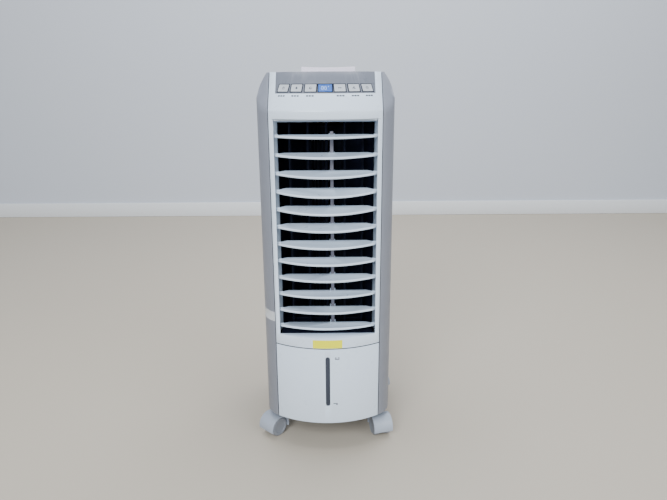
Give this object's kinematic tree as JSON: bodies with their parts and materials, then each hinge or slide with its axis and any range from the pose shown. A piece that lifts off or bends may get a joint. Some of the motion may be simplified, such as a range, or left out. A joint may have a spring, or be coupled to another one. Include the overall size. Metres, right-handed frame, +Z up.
{
  "type": "evaporative air cooler",
  "caption": "Tower evaporative air cooler on swivel casters: louvred front, key panel with display, ice lid, pull-out water tank, blower, pump and wetted pad.",
  "frame": {"origin": "on the floor under the middle of the bounding box", "axes": "+Z up, front towards -Y, +X to the right as seen from the front"},
  "size_m": [0.3352, 0.34, 0.854],
  "materials": {
    "shell_grey": "moulded, mid grey",
    "panel_white": "moulded, bluish white",
    "fascia_grey": "glossy",
    "display_blue": "glossy window",
    "key_grey": "satin",
    "lid_white": "moulded",
    "vane_white": "moulded",
    "dark_plastic": "moulded, near black",
    "duct_dark": "moulded, dark",
    "base_grey": "moulded",
    "board_green": "circuit board",
    "shaft_steel": "turned",
    "stem_steel": "plated",
    "screw_steel": "plated",
    "motor_grey": "painted",
    "bearing_bronze": "sintered",
    "pad_brown": "corrugated, wetted",
    "filter_mesh": "fine mesh in a frame",
    "tub_natural": "translucent",
    "tray_natural": "moulded",
    "window_dark": "clear window over the dark tank",
    "pump_dark": "moulded",
    "hose_clear": "clear tube",
    "caster_grey": "moulded, bluish grey",
    "wheel_grey": "moulded",
    "gland_black": "moulded"
  },
  "bodies": {
    "housing": {"side_shell_left": "shell_grey", "side_shell_right": "shell_grey", "front_panel": "panel_white", "top_cover": "panel_white", "base": "base_grey", "air_duct": "duct_dark", "control_fascia": "fascia_grey", "display_lens": "display_blue", "control_board": "board_green", "swing_motor": "motor_grey", "blower_motor": "motor_grey", "lower_bearing": "bearing_bronze", "water_tray": "tray_natural", "cooling_pad": "pad_brown", "pump": "pump_dark", "pump_hose": "hose_clear", "caster_stems": "stem_steel", "housing_screws": "screw_steel", "cord_gland": "gland_black"},
    "vane_01": {"vane_01": "vane_white"},
    "vane_02": {"vane_02": "vane_white"},
    "vane_03": {"vane_03": "vane_white"},
    "vane_04": {"vane_04": "vane_white"},
    "vane_05": {"vane_05": "vane_white"},
    "vane_06": {"vane_06": "vane_white"},
    "vane_07": {"vane_07": "vane_white"},
    "vane_08": {"vane_08": "vane_white"},
    "vane_09": {"vane_09": "vane_white"},
    "vane_10": {"vane_10": "vane_white"},
    "vane_11": {"vane_11": "vane_white"},
    "vane_12": {"vane_12": "vane_white"},
    "vane_link_bar": {"vane_link_bar": "vane_white"},
    "swing_vane_1": {"swing_vane_1": "dark_plastic"},
    "swing_vane_2": {"swing_vane_2": "dark_plastic"},
    "swing_vane_3": {"swing_vane_3": "dark_plastic"},
    "swing_vane_4": {"swing_vane_4": "dark_plastic"},
    "swing_vane_5": {"swing_vane_5": "dark_plastic"},
    "swing_link_bar": {"swing_link_bar": "dark_plastic"},
    "power_key": {"power_key": "key_grey"},
    "cool_key": {"cool_key": "key_grey"},
    "sleep_key": {"sleep_key": "key_grey"},
    "swing_key": {"swing_key": "key_grey"},
    "speed_key": {"speed_key": "key_grey"},
    "timer_key": {"timer_key": "key_grey"},
    "ice_lid": {"ice_lid": "lid_white"},
    "tank": {"tank_tub": "tub_natural", "tank_cover": "panel_white", "level_window": "window_dark"},
    "rear_cover": {"rear_grille": "shell_grey", "dust_filter": "filter_mesh"},
    "blower": {"blower_wheel": "dark_plastic", "blower_shaft": "shaft_steel"},
    "caster_front_left": {"caster_yoke_front_left": "caster_grey"},
    "wheels_front_left": {"caster_wheels_front_left": "wheel_grey"},
    "caster_front_right": {"caster_yoke_front_right": "caster_grey"},
    "wheels_front_right": {"caster_wheels_front_right": "wheel_grey"},
    "caster_rear_left": {"caster_yoke_rear_left": "caster_grey"},
    "wheels_rear_left": {"caster_wheels_rear_left": "wheel_grey"},
    "caster_rear_right": {"caster_yoke_rear_right": "caster_grey"},
    "wheels_rear_right": {"caster_wheels_rear_right": "wheel_grey"}
  },
  "joints": [
    {"name": "vane_01_tilt", "type": "hinge", "parent": "housing", "child": "vane_01", "pos_m": [0, -0.124, 0.714], "axis": [1, 0, 0], "range_deg": [-18, 20]},
    {"name": "vane_02_tilt", "type": "hinge", "parent": "housing", "child": "vane_02", "pos_m": [0, -0.124, 0.67599], "axis": [1, 0, 0], "range_deg": [-18, 20]},
    {"name": "vane_03_tilt", "type": "hinge", "parent": "housing", "child": "vane_03", "pos_m": [0, -0.124, 0.63798], "axis": [1, 0, 0], "range_deg": [-18, 20]},
    {"name": "vane_04_tilt", "type": "hinge", "parent": "housing", "child": "vane_04", "pos_m": [0, -0.124, 0.59997], "axis": [1, 0, 0], "range_deg": [-18, 20]},
    {"name": "vane_05_tilt", "type": "hinge", "parent": "housing", "child": "vane_05", "pos_m": [0, -0.124, 0.56196], "axis": [1, 0, 0], "range_deg": [-18, 20]},
    {"name": "vane_06_tilt", "type": "hinge", "parent": "housing", "child": "vane_06", "pos_m": [0, -0.124, 0.52395], "axis": [1, 0, 0], "range_deg": [-18, 20]},
    {"name": "vane_07_tilt", "type": "hinge", "parent": "housing", "child": "vane_07", "pos_m": [0, -0.124, 0.48595], "axis": [1, 0, 0], "range_deg": [-18, 20]},
    {"name": "vane_08_tilt", "type": "hinge", "parent": "housing", "child": "vane_08", "pos_m": [0, -0.124, 0.44794], "axis": [1, 0, 0], "range_deg": [-18, 20]},
    {"name": "vane_09_tilt", "type": "hinge", "parent": "housing", "child": "vane_09", "pos_m": [0, -0.124, 0.40993], "axis": [1, 0, 0], "range_deg": [-18, 20]},
    {"name": "vane_10_tilt", "type": "hinge", "parent": "housing", "child": "vane_10", "pos_m": [0, -0.124, 0.37192], "axis": [1, 0, 0], "range_deg": [-18, 20]},
    {"name": "vane_11_tilt", "type": "hinge", "parent": "housing", "child": "vane_11", "pos_m": [0, -0.124, 0.33391], "axis": [1, 0, 0], "range_deg": [-18, 20]},
    {"name": "vane_12_tilt", "type": "hinge", "parent": "housing", "child": "vane_12", "pos_m": [0, -0.124, 0.2959], "axis": [1, 0, 0], "range_deg": [-18, 20]},
    {"name": "vane_link_swing", "type": "hinge", "parent": "vane_01", "child": "vane_link_bar", "pos_m": [0.012, -0.104, 0.714], "axis": [1, 0, 0], "range_deg": [-20, 18]},
    {"name": "swing_vane_1_turn", "type": "hinge", "parent": "housing", "child": "swing_vane_1", "pos_m": [-0.07846, -0.072, 0.3], "axis": [0, 0, 1], "range_deg": [-35, 35]},
    {"name": "swing_vane_2_turn", "type": "hinge", "parent": "housing", "child": "swing_vane_2", "pos_m": [-0.03923, -0.072, 0.3], "axis": [0, 0, 1], "range_deg": [-35, 35]},
    {"name": "swing_vane_3_turn", "type": "hinge", "parent": "housing", "child": "swing_vane_3", "pos_m": [0, -0.072, 0.3], "axis": [0, 0, 1], "range_deg": [-35, 35]},
    {"name": "swing_vane_4_turn", "type": "hinge", "parent": "housing", "child": "swing_vane_4", "pos_m": [0.03923, -0.072, 0.3], "axis": [0, 0, 1], "range_deg": [-35, 35]},
    {"name": "swing_vane_5_turn", "type": "hinge", "parent": "housing", "child": "swing_vane_5", "pos_m": [0.07846, -0.072, 0.3], "axis": [0, 0, 1], "range_deg": [-35, 35]},
    {"name": "swing_link_turn", "type": "hinge", "parent": "swing_vane_3", "child": "swing_link_bar", "pos_m": [0, -0.057, 0.285], "axis": [0, 0, 1], "range_deg": [-35, 35]},
    {"name": "power_press", "type": "slide", "parent": "housing", "child": "power_key", "axis": [0.3791, 0.7586, -0.5299], "range_m": [0, 0.001], "stiffness_N_per_m": 400, "springref_m": -0.0015},
    {"name": "cool_press", "type": "slide", "parent": "housing", "child": "cool_key", "axis": [0.2578, 0.8079, -0.5299], "range_m": [0, 0.001], "stiffness_N_per_m": 400, "springref_m": -0.0015},
    {"name": "sleep_press", "type": "slide", "parent": "housing", "child": "sleep_key", "axis": [0.1305, 0.838, -0.5299], "range_m": [0, 0.001], "stiffness_N_per_m": 400, "springref_m": -0.0015},
    {"name": "swing_press", "type": "slide", "parent": "housing", "child": "swing_key", "axis": [-0.1305, 0.838, -0.5299], "range_m": [0, 0.001], "stiffness_N_per_m": 400, "springref_m": -0.0015},
    {"name": "speed_press", "type": "slide", "parent": "housing", "child": "speed_key", "axis": [-0.2578, 0.8079, -0.5299], "range_m": [0, 0.001], "stiffness_N_per_m": 400, "springref_m": -0.0015},
    {"name": "timer_press", "type": "slide", "parent": "housing", "child": "timer_key", "axis": [-0.3791, 0.7586, -0.5299], "range_m": [0, 0.001], "stiffness_N_per_m": 400, "springref_m": -0.0015},
    {"name": "ice_lid_hinge", "type": "hinge", "parent": "housing", "child": "ice_lid", "pos_m": [0, 0.133, 0.8345], "axis": [-1, 0, 0], "range_deg": [0, 100]},
    {"name": "tank_slide", "type": "slide", "parent": "housing", "child": "tank", "axis": [0, -1, 0], "range_m": [0, 0.11]},
    {"name": "rear_grille_pull", "type": "slide", "parent": "housing", "child": "rear_cover", "axis": [0, 1, 0], "range_m": [0, 0.08]},
    {"name": "blower_spin", "type": "hinge", "parent": "housing", "child": "blower", "pos_m": [0, 0.015, 0.5], "axis": [0, 0, 1], "continuous": true},
    {"name": "caster_front_left_swivel", "type": "hinge", "parent": "housing", "child": "caster_front_left", "pos_m": [-0.12, -0.085, 0.06], "axis": [0, 0, 1], "continuous": true},
    {"name": "caster_front_left_roll", "type": "hinge", "parent": "caster_front_left", "child": "wheels_front_left", "pos_m": [-0.13204, -0.09838, 0.023], "axis": [0.7431, -0.6691, 0], "continuous": true},
    {"name": "caster_front_right_swivel", "type": "hinge", "parent": "housing", "child": "caster_front_right", "pos_m": [0.12, -0.085, 0.06], "axis": [0, 0, 1], "continuous": true},
    {"name": "caster_front_right_roll", "type": "hinge", "parent": "caster_front_right", "child": "wheels_front_right", "pos_m": [0.12466, -0.10239, 0.023], "axis": [0.9659, 0.2588, 0], "continuous": true},
    {"name": "caster_rear_left_swivel", "type": "hinge", "parent": "housing", "child": "caster_rear_left", "pos_m": [-0.12, 0.115, 0.06], "axis": [0, 0, 1], "continuous": true},
    {"name": "caster_rear_left_roll", "type": "hinge", "parent": "caster_rear_left", "child": "wheels_rear_left", "pos_m": [-0.12466, 0.09761, 0.023], "axis": [0.9659, -0.2588, 0], "continuous": true},
    {"name": "caster_rear_right_swivel", "type": "hinge", "parent": "housing", "child": "caster_rear_right", "pos_m": [0.12, 0.115, 0.06], "axis": [0, 0, 1], "continuous": true},
    {"name": "caster_rear_right_roll", "type": "hinge", "parent": "caster_rear_right", "child": "wheels_rear_right", "pos_m": [0.13204, 0.10162, 0.023], "axis": [0.7431, 0.6691, 0], "continuous": true}
  ],
  "couplings": [
    {"joint": "vane_02_tilt", "follows": "vane_01_tilt", "ratio": 1},
    {"joint": "vane_03_tilt", "follows": "vane_01_tilt", "ratio": 1},
    {"joint": "vane_04_tilt", "follows": "vane_01_tilt", "ratio": 1},
    {"joint": "vane_05_tilt", "follows": "vane_01_tilt", "ratio": 1},
    {"joint": "vane_06_tilt", "follows": "vane_01_tilt", "ratio": 1},
    {"joint": "vane_07_tilt", "follows": "vane_01_tilt", "ratio": 1},
    {"joint": "vane_08_tilt", "follows": "vane_01_tilt", "ratio": 1},
    {"joint": "vane_09_tilt", "follows": "vane_01_tilt", "ratio": 1},
    {"joint": "vane_10_tilt", "follows": "vane_01_tilt", "ratio": 1},
    {"joint": "vane_11_tilt", "follows": "vane_01_tilt", "ratio": 1},
    {"joint": "vane_12_tilt", "follows": "vane_01_tilt", "ratio": 1},
    {"joint": "vane_link_swing", "follows": "vane_01_tilt", "ratio": -1},
    {"joint": "swing_vane_1_turn", "follows": "swing_vane_3_turn", "ratio": 1},
    {"joint": "swing_vane_2_turn", "follows": "swing_vane_3_turn", "ratio": 1},
    {"joint": "swing_vane_4_turn", "follows": "swing_vane_3_turn", "ratio": 1},
    {"joint": "swing_vane_5_turn", "follows": "swing_vane_3_turn", "ratio": 1},
    {"joint": "swing_link_turn", "follows": "swing_vane_3_turn", "ratio": -1}
  ]
}
